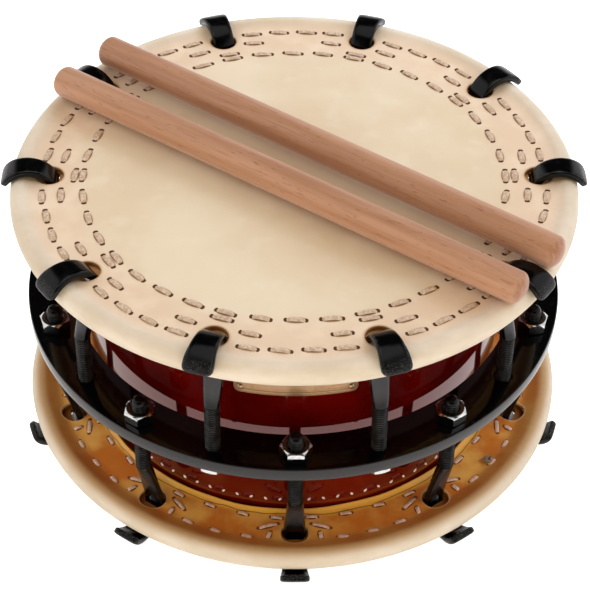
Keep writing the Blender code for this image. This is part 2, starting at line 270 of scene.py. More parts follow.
RING_RADIUS = 0.1679
RING_Z = {"upper": 0.1756, "lower": 0.0170}
HALF_SPACING = 0.0793
RIM_RADIUS = 0.0071
RIM_ARC = (116, -120, 27)
WIRE_ROOM = 0.0039
WIRE_ARC = (-140, 140, 9)
FACE_LEVEL = 0.0045
UNDERSIDE = 0.0013
LAP_UPSIDE = 0.0009
LAP_LEVEL = -0.0023
LAP_EDGE = 0.1322
LAP_TURN_UP = 0.0020
LAP_CROWN = 0.0008
FACE_RINGS = (0.0, 0.04, 0.08, 0.11, 0.122, 0.130, 0.138, 0.146, 0.152)
LAP_RINGS = (0.152, 0.146, 0.140)
FLAT_EDGE = 0.1555
FACE_TO_RIM = 0.1612
RIM_TO_LAP = 0.1573
TURN_UP_START = 0.1380
TURN_UP_BEND = 0.1350
BRIM_OUTER = 0.1334
BRIM_MIDDLE = 0.1328
LIP_RADIUS = 0.0011
LIP_SPREAD = 0.7
LIP_SINK = 0.85
HOLE_CIRCLE = 0.1508
HOLE_DEPTH = 0.0172
HOLE_WIDTH = 0.0172
HOLE_SIDES = 28
HOLE_TURN = 0.07
SLOT_INNER = 0.1452
SLOT_SHOULDER = 0.1502
SLOT_OUTER = 0.1528
SLOT_WIDTH = 0.0139
SLOT_END_WIDTH = 0.0100
LAYER_SPLIT = 0.0011
PUNCH_LENGTH = 0.02
PUNCH_GAP = 0.0001
HOOKS = 10
HOOK_PITCH = 2 * math.pi / HOOKS
FIRST_HOOK = {"upper": 0.0, "lower": HOOK_PITCH / 2}


def arc(radius, first, last, count):
    """Points round the iron ring's middle, from one angle in degrees to another."""
    turns = [math.radians(first + (last - first) * i / (count - 1)) for i in range(count)]
    return [(RING_RADIUS + radius * math.cos(turn), radius * math.sin(turn)) for turn in turns]


def bar_section(radius, height, thickness):
    """An eight-sided section of round bar or thong, to be turned into a hoop."""
    bends = [i * math.pi / 4 for i in range(8)]
    return [(radius + thickness * math.cos(bend), height + thickness * math.sin(bend))
            for bend in bends]


def lapped_edge(angle):
    """How far the lap's cut edge strays from its circle: it was cut by hand and drawn in unevenly."""
    ripple = 0.0003 * math.sin(7 * angle) + 0.0002 * math.sin(19 * angle + 1)
    return -0.0004 * math.cos(angle) - ripple


def spoke(number, first=0.0):
    """The turn that carries a piece round the drum to one of its hooks."""
    return Matrix.Rotation(first + number * HOOK_PITCH, 4, "Z")


def add_copies(shape, mesh, places):
    """Adds copies of a mesh to a shape, each in its own place."""
    for place in places:
        before = len(shape.verts)
        shape.from_mesh(mesh)
        shape.verts.ensure_lookup_table()
        bmesh.ops.transform(shape, matrix=place, verts=shape.verts[before:])


def carve(shape, tool, operation="DIFFERENCE"):
    """Works one shape with another; the faces that the tool leaves take the second finish."""
    for face in tool.faces:
        face.material_index = 1
    pair = []
    for name, part in (("work", shape), ("tool", tool)):
        mesh = bpy.data.meshes.new(name)
        part.to_mesh(mesh)
        part.free()
        mesh.materials.append(None)
        mesh.materials.append(None)
        pair.append(bpy.data.objects.new(name, mesh))
        bpy.context.scene.collection.objects.link(pair[-1])
    work, tool = pair
    boolean = work.modifiers.new("Carve", "BOOLEAN")
    boolean.operation = operation
    boolean.solver = "EXACT"
    boolean.object = tool
    result = bmesh.new()
    result.from_object(work, bpy.context.evaluated_depsgraph_get())
    for part in pair:
        bpy.data.meshes.remove(part.data)
    return result


def head_profile():
    """The hide's section about its ring's middle: face, rim, lap and back along the inner side."""
    rim = arc(RIM_RADIUS, *RIM_ARC)
    brim = LAP_LEVEL - LAP_TURN_UP
    profile = [(radius, FACE_LEVEL) for radius in FACE_RINGS]
    profile += rounded((FLAT_EDGE, FACE_LEVEL), (FACE_TO_RIM, FACE_LEVEL), rim[0], 8)[:-1] + rim
    profile += rounded(rim[-1], (RIM_TO_LAP, LAP_LEVEL), (FLAT_EDGE, LAP_LEVEL), 8)[1:]
    profile += [(radius, LAP_LEVEL) for radius in LAP_RINGS]
    profile += rounded((TURN_UP_START, LAP_LEVEL), (TURN_UP_BEND, LAP_LEVEL), (BRIM_OUTER, brim), 7)
    profile += rounded((BRIM_OUTER, brim), (BRIM_MIDDLE, brim - LAP_CROWN), (LAP_EDGE, brim), 5)[1:]
    profile += rounded((LAP_EDGE, LAP_LEVEL), (LAP_EDGE, LAP_UPSIDE), (TURN_UP_BEND, LAP_UPSIDE), 5)
    profile += [(FLAT_EDGE, LAP_UPSIDE)] + arc(WIRE_ROOM, *WIRE_ARC)
    return profile + [(FLAT_EDGE, UNDERSIDE), (0.0, UNDERSIDE)]


def hole_punch(outer):
    """A round punch for the layer on the seen side, and a slotted one for the other layer."""
    shape = bmesh.new()
    offset = outer * (PUNCH_LENGTH + PUNCH_GAP) / 2
    place = Matrix.Translation((HOLE_CIRCLE, 0.0, LAYER_SPLIT + offset))
    place = place @ Matrix.Diagonal((HOLE_DEPTH, HOLE_WIDTH, 1.0, 1.0))
    bmesh.ops.create_cone(shape, cap_ends=True, segments=HOLE_SIDES, radius1=0.5, radius2=0.5,
                          depth=PUNCH_LENGTH, matrix=place @ Matrix.Rotation(HOLE_TURN, 4, "Z"))
    outline = [(SLOT_INNER, SLOT_WIDTH), (SLOT_SHOULDER, SLOT_WIDTH), (SLOT_OUTER, SLOT_END_WIDTH)]
    corners = [(out, width / 2) for out, width in outline]
    corners += [(out, -width / 2) for out, width in reversed(outline)]
    base = LAYER_SPLIT - offset - PUNCH_LENGTH / 2
    slot = shape.faces.new([shape.verts.new((out, across, base)) for out, across in corners])
    raised = bmesh.ops.extrude_face_region(shape, geom=[slot])["geom"]
    bmesh.ops.translate(shape, vec=(0, 0, PUNCH_LENGTH),
                        verts=[part for part in raised if isinstance(part, bmesh.types.BMVert)])
    bmesh.ops.recalc_face_normals(shape, faces=shape.faces)
    return mesh_of("punch", shape, [])


def head_shape(seen):
    """A lapped hide, about its ring's middle and with its playing face up, with its hook holes cut.

    They are round in the layer that is seen from above, and slots close round the strap in the other.
    """
    outer, level = (1, FACE_LEVEL) if seen == "face" else (-1, LAP_LEVEL)
    shape = turned(head_profile())
    lowest = LAP_LEVEL - LAP_TURN_UP - 0.001
    for vert in shape.verts:
        out = math.hypot(vert.co.x, vert.co.y)
        at_edge = LAP_EDGE - 0.001 < out < TURN_UP_BEND + 0.0005
        if at_edge and lowest < vert.co.z < LAP_UPSIDE + 0.0001:
            vert.co.xy *= 1 + lapped_edge(math.atan2(vert.co.y, vert.co.x)) / out
    holes = bmesh.new()
    add_copies(holes, hole_punch(outer), [spoke(number) for number in range(HOOKS)])
    shape = carve(shape, holes)
    loop = bar_section(HOLE_DEPTH / 2 + LIP_SPREAD * LIP_RADIUS, level - outer * LIP_SINK * LIP_RADIUS,
                       LIP_RADIUS)
    lip = mesh_of("hole_lip", turned(loop, 36, closed=True), [])
    place = Matrix.Translation((HOLE_CIRCLE, 0.0, 0.0))
    place = place @ Matrix.Diagonal((1.0, HOLE_WIDTH / HOLE_DEPTH, 1.0, 1.0))
    add_copies(shape, lip, [spoke(number) @ place for number in range(HOOKS)])
    return shape


def head_place(head):
    """Where a head goes: the lower one is turned over, with its hooks between the upper ones."""
    over = Matrix.Diagonal((1.0, 1.0, 1.0 if head == "upper" else -1.0, 1.0))
    return Matrix.Translation((0, 0, RING_Z[head])) @ spoke(0, FIRST_HOOK[head]) @ over


def lift_into_place(shape, head):
    """Moves a shape made about a ring's middle into its head."""
    bmesh.ops.transform(shape, matrix=head_place(head), verts=shape.verts)
    bmesh.ops.recalc_face_normals(shape, faces=shape.faces)


hide, shader, where = new_finish("cow_hide")
x, y, z = axes_of(where)
radius = out_from_axis(where)
angle = where.sum("ARCTAN2", y, x)
side = abs(z - MIDDLE_Z) - HALF_SPACING
upper = fade(z, MIDDLE_Z - 0.01, MIDDLE_Z + 0.01)
turns = angle / HOOK_PITCH + 0.5 * upper
hook_angle = (where.sum("FRACT", turns + 10.0) - 0.5) * HOOK_PITCH
hole_x = (radius * where.sum("COSINE", hook_angle) - HOLE_CIRCLE) * (2 / HOLE_DEPTH)
hole_y = radius * where.sum("SINE", hook_angle) * (2 / HOLE_WIDTH)
from_hole = (hole_x * hole_x + hole_y * hole_y) ** 0.5

patches = mottle(where, 11, 5)
veins = mottle(where, 55, 4)
grain = mottle(where, 700, 3)
face_tone = blend(fade(patches, 0.36, 0.66), paint(229, 208, 177), paint(238, 222, 194))
face_tone = blend(fade(veins, 0.5, 0.75) * 0.4, face_tone, paint(244, 231, 207))
peach = blend(fade(veins, 0.4, 0.7), paint(234, 205, 177), paint(243, 219, 192))
face_tone = blend(fade(radius, 0.122, 0.142) * 0.75, face_tone, peach)
face_tone = blend(fade(from_hole, 1.22, 1.08) * 0.35, face_tone, paint(196, 156, 112))
face_tone = blend(fade(from_hole, 1.10, 0.94), face_tone, paint(140, 92, 46))
streaks = fade(mottle(where, 30, 4, (1, 1, 0.3)), 0.35, 0.7)
rim_tone = blend(streaks, paint(222, 206, 183), paint(236, 223, 204))
face_tone = blend(fade(radius, 0.157, 0.169), face_tone, rim_tone)
amber = blend(fade(mottle(where, 32, 4), 0.38, 0.64), paint(222, 128, 50), paint(255, 192, 96))
seam = radius - 0.1361 - 0.0036 * (mottle(where, 40, 2) - 0.5)
amber = blend(fade(seam, 0.0030, -0.0004), amber, paint(242, 178, 74))
# The lap turns browner towards the roll, from 150 to 161 mm out.
amber = blend(fade(radius, 0.150, 0.161) * 0.7, amber, paint(172, 104, 50))
amber = blend(fade(from_hole, 1.16, 1.02) * 0.8, amber, paint(226, 180, 128))
amber = blend(fade(abs(seam), 0.0005, 0.0001) * 0.75, amber, paint(104, 52, 16))
inner_face = fade(side, 0.0010, 0.0012)
amber = blend(inner_face, amber, paint(242, 176, 74))
# Inside the hook holes the inner face is painted darker brown: painted shade in the holes.
amber = blend(inner_face * fade(from_hole, 1.10, 1.00), amber, paint(150, 88, 34))
lap_side = fade(side, 0.0035, 0.0020)
# Tan over the inner side of the roll, then the rim's colour.
lap_to_rim_tone = blend(fade(radius, 0.1630, 0.1690), amber, paint(200, 160, 112))
lap_to_rim_tone = blend(fade(radius, 0.1685, 0.1748), lap_to_rim_tone, rim_tone)
tone = blend(lap_side, face_tone, lap_to_rim_tone)
creases = where.sum("SINE", angle * 160 + 9 * mottle(where, 60, 2)) * fade(radius, 0.160, 0.165)
varnish = lap_side * fade(radius, 0.164, 0.160)
lay_on(shader, Base_Color=tone, Roughness=0.56 - 0.26 * varnish + 0.12 * grain,
       Normal=relief(0.5 * grain + 0.8 * veins + 0.2 * creases, 0.0006, 0.3))

raw_edge, shader, where = new_finish("cut_hide")
layers = mottle(where, 260, 3, (2, 2, 0.33))
lay_on(shader, Base_Color=blend(fade(layers, 0.3, 0.7), paint(112, 62, 22), paint(178, 118, 56)),
       Roughness=0.5 + 0.2 * layers, Normal=relief(layers, 0.0004, 0.4))

for head in ("upper", "lower"):
    shape = head_shape("face" if head == "upper" else "lap")
    lift_into_place(shape, head)
    skin_mesh = mesh_of(head + "_hide", shape, [hide, raw_edge], crease=50)
    fit_piece(head + "_hide", skin_mesh, "drum", "cow_hide", head + "_head_skin")


# Stitches
# Flat hide thongs that sew each lap to its head. They come up through one slit, lie over the hide and
# go down through the next. On the playing face they are broad, and on the lap narrow, with some set
# aslant.

FACE_STITCH = Vector((0.0124, 0.0036, 0.0013))
LAP_STITCH = Vector((0.0080, 0.0027, 0.0012))
STITCH_SKEW = 0.22
# Discs of painted shade: one round each stitch, and one at each end where the thong goes into its slit.
STITCH_SHADE_DISC = ((1.10, 1.46), 0.0, 0.03, 1)
STITCH_SLIT_SHADES = [((0.20, 0.95), shift, 0.07, 2) for shift in (-0.49, 0.49)]
SEWN_SWING = 0.07
SEWN_STRAY = 0.0004
SEWN_STRETCH = (0.94, 1.04)
FACE_ROWS = {0.1305: (-9.0, 0.0, 9.0, 18.0), 0.1357: (0.0,), 0.1439: (-7.6, 7.6),
             0.1551: (7.7, 14.6, 21.4, 28.3)}
LAP_ROWS = {0.1385: (-13.5, -4.5, 4.5, 13.5), 0.1563: (11, 18, 25)}
LAP_SLANTS = (((0.143, 4.0), (0.1482, 8.7)), ((0.1494, 5.7), (0.1558, 6.1)))


def stitch_mesh(finishes):
    """One stitch a unit long, wide and high, with a darker disc round it as painted shade and two dark
    discs at its ends as painted shade in its slits.
    """
    shape = bmesh.new()
    bmesh.ops.create_cone(shape, cap_ends=True, segments=8, radius1=0.5, radius2=0.5, depth=1.0,
                          matrix=Matrix.Rotation(math.pi / 2, 4, "Y"))
    long_edges = [edge for edge in shape.edges if abs(edge.verts[0].co.x - edge.verts[1].co.x) > 0.5]
    bmesh.ops.subdivide_edges(shape, edges=long_edges, cuts=5)
    for vert in shape.verts:
        dip = (2 * vert.co.x) ** 4
        vert.co.y = vert.co.y * (1 - 0.3 * dip) - STITCH_SKEW * vert.co.x
        vert.co.z = 0.55 - 1.15 * dip + 0.8 * vert.co.z
    for size, shift, lift, finish in (STITCH_SHADE_DISC, *STITCH_SLIT_SHADES):
        place = Matrix.Translation((shift, -STITCH_SKEW * shift, lift))
        place = place @ Matrix.Diagonal((*size, 1.0, 1.0))
        disc = bmesh.ops.create_circle(shape, cap_ends=True, segments=14, radius=0.5, matrix=place)
        for face in {face for vert in disc["verts"] for face in vert.link_faces}:
            face.material_index = finish
    return mesh_of("stitch", shape, finishes)


def sewn(start, end, size, level, hand):
    """Where a stitch goes between two (radius, degrees) points, with the sewer's unevenness."""
    first, last = (Matrix.Rotation(math.radians(turn), 3, "Z") @ Vector((out, 0, level))
                   for out, turn in (start, end))
    run = last - first
    heading = math.atan2(run.y, run.x) + hand.uniform(-SEWN_SWING, SEWN_SWING)
    stray = [hand.uniform(-SEWN_STRAY, SEWN_STRAY) for axis in "XY"]
    middle = (first + last) / 2 + Vector((*stray, 0))
    up = 1 if level > 0 else -1
    stretch = Matrix.Diagonal((run.length * hand.uniform(*SEWN_STRETCH), size.y, up * size.z, 1.0))
    return Matrix.Translation(middle) @ Matrix.Rotation(heading, 4, "Z") @ stretch


def in_rows(rows, length):
    """The two ends of each stitch of one hook's share, where the stitches lie along their rows."""
    ends = []
    for out, row in rows.items():
        half = math.degrees(length / 2 / out)
        ends += [((out, turn - half), (out, turn + half)) for turn in row]
    return ends


def slanting():
    """The two ends of each stitch that is set aslant beside a hook's hole."""
    return [tuple((out, side * turn) for out, turn in ends) for ends in LAP_SLANTS for side in (-1, 1)]


def lap_mask(where):
    """1 on the lap side of the heads and 0 on their playing faces."""
    height = axes_of(where)[2]
    return fade(abs(height - MIDDLE_Z), HALF_SPACING + 0.001, HALF_SPACING - 0.001)


thong, shader, where = new_finish("hide_thong")
fibres = mottle(where, 600, 3)
face_thong = blend(fade(fibres, 0.35, 0.7), paint(196, 168, 142), paint(228, 206, 182))
lap_thong = blend(fade(fibres, 0.35, 0.7), paint(222, 176, 150), paint(246, 214, 192))
lay_on(shader, Base_Color=blend(lap_mask(where), face_thong, lap_thong),
       Roughness=0.42 + 0.2 * fibres, Normal=relief(fibres, 0.0004, 0.5))

# The disc under each stitch is painted shade round the thong, and the discs at its ends are painted
# shade in its slits.
stitch_shade, shader, where = new_finish("stitch_painted_shade")
lay_on(shader, Base_Color=blend(lap_mask(where), paint(182, 148, 114), paint(132, 74, 32)),
       Roughness=0.6 + 0.1 * mottle(where, 300))

slit_shade, shader, where = new_finish("stitch_slit_painted_shade")
face_slit_shade = blend(mottle(where, 500, 2), paint(60, 36, 20), paint(104, 68, 44))
lay_on(shader, Base_Color=blend(lap_mask(where), face_slit_shade, paint(138, 82, 42)), Roughness=0.8)

stitch = stitch_mesh([thong, stitch_shade, slit_shade])
sewer = random.Random(7)
face_pattern = in_rows(FACE_ROWS, FACE_STITCH.x)
lap_pattern = in_rows(LAP_ROWS, LAP_STITCH.x) + slanting()
for head in ("upper", "lower"):
    for name, pattern, size, level in (("face", face_pattern, FACE_STITCH, FACE_LEVEL),
                                       ("lap", lap_pattern, LAP_STITCH, LAP_LEVEL)):
        shape = bmesh.new()
        add_copies(shape, stitch, [spoke(number) @ sewn(start, end, size, level, sewer)
                                   for number in range(HOOKS) for start, end in pattern])
        lift_into_place(shape, head)
        sewn_mesh = mesh_of(f"{head}_{name}_stitches", shape, [thong, stitch_shade, slit_shade])
        fit_piece(f"{head}_{name}_stitches", sewn_mesh, "drum", "cow_hide")


# Knot
# Where the hide thong that sews the lower lap was tied off and its ends were cut short. It has greyed
# with handling.

KNOT_PLACE = Vector((0.1241, -0.0912, 0.0203))
KNOT_THONG = 0.0009
KNOT_TURN = 0.0016
KNOT_COILS = ((20, 60, (-0.0008, 0.0004, 0.0006)), (-65, 50, (0.0008, 0.0, 0.0008)),
              (100, 20, (0.0, -0.0006, 0.0014)))
KNOT_ENDS = (35, 160)

cord, shader, where = new_finish("knotted_thong")
twist = mottle(where, 900, 3)
lay_on(shader, Base_Color=blend(fade(twist, 0.3, 0.7), paint(112, 92, 76), paint(164, 142, 122)),
       Roughness=0.6 + 0.2 * twist, Normal=relief(twist, 0.0005, 0.6))
knot = bmesh.new()
for yaw, tip, shift in KNOT_COILS:
    coil = turned(bar_section(KNOT_TURN, 0.0, KNOT_THONG), 14, closed=True)
    place = Matrix.Translation(KNOT_PLACE + Vector(shift)) @ Matrix.Rotation(math.radians(yaw), 4, "Z")
    place = place @ Matrix.Rotation(math.radians(tip), 4, "X")
    bmesh.ops.transform(coil, matrix=place, verts=coil.verts)
    knot.from_mesh(mesh_of("coil", coil, [cord]))
for yaw in KNOT_ENDS:
    place = Matrix.Translation(KNOT_PLACE) @ Matrix.Rotation(math.radians(yaw), 4, "Z")
    place = place @ Matrix.Translation((0.0026, 0, -0.0001)) @ Matrix.Rotation(math.pi / 2, 4, "Y")
    bmesh.ops.create_cone(knot, cap_ends=True, segments=8, radius1=KNOT_THONG, radius2=0.0007,
                          depth=0.0034, matrix=place)
fit_piece("tied_knot", mesh_of("tied_knot", knot, [cord]), "drum", "cow_hide")


# Rings
# Hoops bent from round iron bar and welded shut. Each lies hidden inside the roll of its head's rim,
# where the hide dries tight round it.

ring_iron, shader, where = new_finish("ring_iron")
scale_marks = mottle(where, 320, 4)
rust = fade(mottle(where, 60, 4), 0.52, 0.7)
bar = blend(scale_marks, paint(62, 60, 58), paint(96, 93, 90))
lay_on(shader, Base_Color=blend(rust, bar, paint(104, 62, 38)), Metallic=0.9 - 0.8 * rust,
       Roughness=0.5 + 0.35 * rust, Normal=relief(scale_marks, 0.0003, 0.5))
for head in ("upper", "lower"):
    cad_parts[head + "_head_ring"].material_slots[0].material = ring_iron


# Flange
# A flat ring cut from steel plate and painted gloss black, with a clearance hole for every bolt. It
# hangs on the bolts round the shell's middle and takes the pull of both heads.

FLANGE_Z = 0.09375
FLANGE_INNER = 0.1413
FLANGE_OUTER = 0.1705
FLANGE_HALF = 0.00435
FLANGE_EDGE = 0.0007
FLANGE_HOLE = 0.0059
HOLE_NUDGE = 0.001
BOLT_CIRCLE = 0.1572

black_paint, shader, where = new_finish("black_steel")
# The outer edge is painted lighter grey than the faces: painted light, as if the edge were lit and the
# top lay in shade.
edge_painted_lit = fade(out_from_axis(where), FLANGE_OUTER - FLANGE_EDGE, FLANGE_OUTER - 0.0001)
scuffs = fade(mottle(where, 240, 4, (1, 1, 3)), 0.60, 0.74)
peel = mottle(where, 420, 2)
gloss_black = blend(edge_painted_lit, paint(11, 11, 12), paint(40, 40, 42))
lay_on(shader, Base_Color=blend(scuffs * 0.3, gloss_black, paint(44, 44, 46)), IOR=1.4,
       Roughness=0.10 + 0.12 * scuffs, Normal=relief(peel, 0.0002, 0.08))

flange_profile = []
for out, up in ((1, 1), (1, -1), (-1, -1), (-1, 1)):
    corner_radius = FLANGE_OUTER if out > 0 else FLANGE_INNER
    corner = (corner_radius, FLANGE_Z + up * FLANGE_HALF)
    on_face = (corner_radius - out * FLANGE_EDGE, corner[1])
    on_wall = (corner_radius, corner[1] - up * FLANGE_EDGE)
    first, last = (on_face, on_wall) if out * up > 0 else (on_wall, on_face)
    flange_profile += rounded(first, corner, last, 4)
bolt_holes = bmesh.new()
for number in range(2 * HOOKS):
    place = spoke(number / 2 + HOLE_NUDGE) @ Matrix.Translation((BOLT_CIRCLE, 0, FLANGE_Z))
    bmesh.ops.create_cone(bolt_holes, cap_ends=True, segments=24, radius1=FLANGE_HOLE,
                          radius2=FLANGE_HOLE, depth=6 * FLANGE_HALF, matrix=place)
flange_shape = carve(turned(flange_profile, closed=True), bolt_holes)
flange_mesh = mesh_of("black_flange", flange_shape, [black_paint, black_paint])
fit_piece("black_flange", flange_mesh, "drum", "black_steel", "tension_flange")


# Hook bolts
# Ten to a head, forged from 10 mm rod: the top is hammered out into a strap that comes through the hide
# and arches over the rim to a blunt tip, and the rest is threaded for the nut. They are dipped in black
# paint.

HOOK_Z = {"upper": 0.1756, "lower": 0.0134}
HOOK_REACH = 0.0134
ARCH_MIDDLE = Vector((0.0069, 0.0, -0.0027))
ARCH_HALF_SPAN = 0.016
ARCH_RISE = 0.0137
ARCH_START = 190
ARCH_END = 36
ROD_RADIUS = 0.0048
THREAD_ROOT = 0.0039
THREAD_PITCH = 0.0015
THREAD_STEPS = 14
THREAD_FORM = ((THREAD_ROOT, 0.0), (ROD_RADIUS, 0.4), (ROD_RADIUS, 0.6), (THREAD_ROOT, 1.0))
# The thread's crests are marked as worn: partly paint rubbed off, partly a painted highlight on the
# crests.
CREST_WEAR_AND_SHINE = 1.05
ROD_END = -0.101
ROD_POINT = ((0.0014, 0.0), (0.0026, 0.0002), (0.0036, 0.0008), (0.0043, 0.0018), (0.0046, 0.0029))
POINT_OVERLAP = 0.0026
NECK_START = -0.0434
NECK_OVERLAP = 0.0003
NECK_LOOPS = 12
NECK_THICKNESS = (0.0096, 0.0074, 0.0058, 0.0051, 0.0047)
NECK_WIDTH = (0.0096, 0.0108, 0.0117, 0.0129, 0.0142)
NECK_SQUARENESS = (2, 3, 4, 4.6, 5)
NECK_FLAT = (0, 1, 1, 0, 0)
STRAP_LOOPS = 29
STRAP_THICKNESS = (0.0047, 0.0052, 0.0052, 0.0048, 0.0046)
STRAP_WIDTH = 0.0142
STRAP_SPREAD = 0.0040
STRAP_SPREADING = (0, 0, 0.2, 0.5, 1)
STRAP_SQUARENESS = 5
HAMMERED_FROM = 70
HAMMERED_OVER = 30
TIP = ((32, 0.0046, 0.0182), (28, 0.0045, 0.0176), (24.5, 0.0043, 0.0165),
       (22, 0.0039, 0.0149), (20.5, 0.0032, 0.0130), (20, 0.0022, 0.0112))
TIP_SQUARENESS = 4.5
LOOP_SIDES = 24


def ease(share):
    """A smooth run from 0 to 1."""
    return share * share * (3 - 2 * share)


def between(share, *stops):
    """A size part of the way along evenly spaced stops."""
    place = min(max(share, 0.0), 0.99999) * (len(stops) - 1)
    step = int(place)
    return stops[step] + (stops[step + 1] - stops[step]) * (place - step)


def forged_loop(shape, centre, outward, thickness, width, squareness, tip, flat=0.0):
    """A loop round the hook, from round (squareness 2) to a strap; its worn and hammered parts and its
    flat with painted sheen are noted.
    """
    worn = shape.verts.layers.float["worn"]
    hammered = shape.verts.layers.float["hammered"]
    painted_flat_sheen = shape.verts.layers.float["painted_flat_sheen"]
    loop = bmesh.ops.create_circle(shape, segments=LOOP_SIDES, radius=1.0)["verts"]
    for vert in loop:
        across, along = vert.co.x, vert.co.y
        vert[worn] = (2 * across * along) ** 2 * min(1.0, max(0.0, squareness - 2.5) / 2)
        vert[hammered] = tip
        vert[painted_flat_sheen] = flat if across < -0.3 else 0.0
        deep = math.copysign(abs(across) ** (2 / squareness) * thickness / 2, across)
        wide = math.copysign(abs(along) ** (2 / squareness) * width / 2, along)
        point = centre + outward * deep
        vert.co = (point.x, wide, min(point.z, HOOK_REACH))
    return list({edge for vert in loop for edge in vert.link_edges})


def on_arch(degrees):
    """The strap's centre at an angle round its arch, and the direction out of it."""
    angle = math.radians(degrees)
    centre = ARCH_MIDDLE + Vector((ARCH_HALF_SPAN * math.cos(angle), 0, ARCH_RISE * math.sin(angle)))
    outward = Vector((math.cos(angle) / ARCH_HALF_SPAN, 0, math.sin(angle) / ARCH_RISE))
    return centre, outward.normalized()


def hook_shape():
    """A hook bolt about its rod's axis, level with its ring's middle and hooking towards +X."""
    shape = bmesh.new()
    worn = shape.verts.layers.float.new("worn")
    shape.verts.layers.float.new("hammered")
    shape.verts.layers.float.new("painted_flat_sheen")
    points = [shape.verts.new((out, 0, ROD_END + share * THREAD_PITCH)) for out, share in THREAD_FORM]
    for point in points[1:3]:
        point[worn] = CREST_WEAR_AND_SHINE
    lines = [shape.edges.new(pair) for pair in zip(points, points[1:])]
    thread_turns = int((NECK_START - ROD_END) / THREAD_PITCH) + 1
    bmesh.ops.spin(shape, geom=points + lines, cent=(0, 0, 0), axis=(0, 0, 1),
                   angle=2 * math.pi * thread_turns, steps=THREAD_STEPS * thread_turns,
                   dvec=(0, 0, THREAD_PITCH / THREAD_STEPS))
    bmesh.ops.remove_doubles(shape, verts=shape.verts, dist=0.00001)
    for height, normal in ((ROD_END + POINT_OVERLAP, -1), (NECK_START + NECK_OVERLAP, 1)):
        bmesh.ops.bisect_plane(shape, geom=shape.verts[:] + shape.edges[:] + shape.faces[:],
                               dist=0.000001, plane_co=(0, 0, height), plane_no=(0, 0, normal),
                               clear_outer=True)
    inward = Vector((-1, 0, 0))
    point_loops = []
    for out, height in ROD_POINT:
        centre = Vector((0, 0, ROD_END + height))
        point_loops.append(forged_loop(shape, centre, inward, 2 * out, 2 * out, 2, 0))
    neck = Vector((0, 0, NECK_START))
    foot = on_arch(ARCH_START)[0]
    lean = (foot - neck).normalized()
    loops = []
    for i in range(NECK_LOOPS):
        share = i / NECK_LOOPS
        facing = inward.lerp(Vector((-lean.z, 0, lean.x)), min(1, 3 * share))
        loops.append(forged_loop(shape, neck.lerp(foot, share), facing, between(share, *NECK_THICKNESS),
                                 between(share, *NECK_WIDTH), between(share, *NECK_SQUARENESS), 0,
                                 ease(between(share, *NECK_FLAT))))
    for i in range(STRAP_LOOPS):
        share = i / (STRAP_LOOPS - 1)
        degrees = ARCH_START + (ARCH_END - ARCH_START) * share
        width = STRAP_WIDTH + STRAP_SPREAD * ease(between(share, *STRAP_SPREADING))
        loops.append(forged_loop(shape, *on_arch(degrees), between(share, *STRAP_THICKNESS), width,
                                 STRAP_SQUARENESS,
                                 ease(between((HAMMERED_FROM - degrees) / HAMMERED_OVER, 0, 1))))
    for degrees, thickness, width in TIP:
        loops.append(forged_loop(shape, *on_arch(degrees), thickness, width, TIP_SQUARENESS, 1))
    for chain in (point_loops, loops):
        for first, second in zip(chain, chain[1:]):
            bmesh.ops.bridge_loops(shape, edges=first + second)
        for end in (chain[0], chain[-1]):
            bmesh.ops.edgeloop_fill(shape, edges=end)
    bmesh.ops.recalc_face_normals(shape, faces=shape.faces)
    return shape


dipped, shader, where = new_finish("dipped_black")
worn, hammered, painted_flat_sheen = (where.node("Attribute", {"attribute_name": mark}, output="Fac")
                             for mark in ("worn", "hammered", "painted_flat_sheen"))
speckle = mottle(where, 1500, 2)
blotches = mottle(where, 210, 3)
rubbed = fade(worn + 0.6 * blotches, 1.15, 1.45)
# Pale speckle on the hammered tip is painted glints, laid into the colour as well as the bump.
painted_tip_glints = fade(speckle, 0.54, 0.62) * fade(hammered + 0.4 * blotches, 0.95, 1.25)
skin = blend(fade(blotches, 0.45, 0.75), paint(9, 9, 10), paint(18, 18, 19))
skin = blend(rubbed * 0.28, skin, paint(110, 110, 110))
# The hammered flat on the neck is painted lighter and made more metallic there: a painted sheen.
flat_sheen = 0.6 * painted_flat_sheen + 0.2 * painted_flat_sheen * blotches
skin = blend(flat_sheen * 0.35, skin, paint(116, 116, 120))
lay_on(shader, Base_Color=blend(painted_tip_glints * 0.22, skin, paint(120, 120, 118)), IOR=1.32,
       Metallic=0.2 * rubbed + 0.5 * flat_sheen,
       Roughness=0.12 + 0.10 * blotches + 0.1 * hammered,
       Normal=relief(0.3 * blotches + hammered ** 4 * speckle, 0.0006, 0.45))

hook_mesh = mesh_of("hook_bolt", hook_shape(), [dipped], crease=40)
for head in ("upper", "lower"):
    for number in range(1, HOOKS + 1):
        place = spoke(number - 1, FIRST_HOOK[head])
        place = place @ Matrix.Translation((BOLT_CIRCLE, 0, HOOK_Z[head]))
        place = place @ Matrix.Rotation(0 if head == "upper" else math.pi, 4, "X")
        bolt = hook_mesh.copy()
        bolt.transform(place)
        fit_piece(f"{head}_forged_hook_{number:02d}", bolt, f"{head}_bolt_{number:02d}",
                  "black_steel", f"{head}_hook_bolt_{number:02d}")


# Nuts
# Plated steel hexagon nuts, chamfered on both faces and countersunk at the thread. A spanner turns them
# against the flange, and that draws the two heads together.

NUT_HEIGHT = 0.008
NUT_ACROSS_FLATS = 0.017
NUT_BORE = 0.0049
NUT_CHAMFER = ((0.0076, -0.0002), (0.0085, 0.0005), (0.0104, 0.0016))
NUT_COUNTERSINK = ((NUT_BORE, 0.0008), (NUT_BORE + 0.0009, -0.0002))
NUT_SEAT = {"upper": 0.0811, "lower": 0.0984}

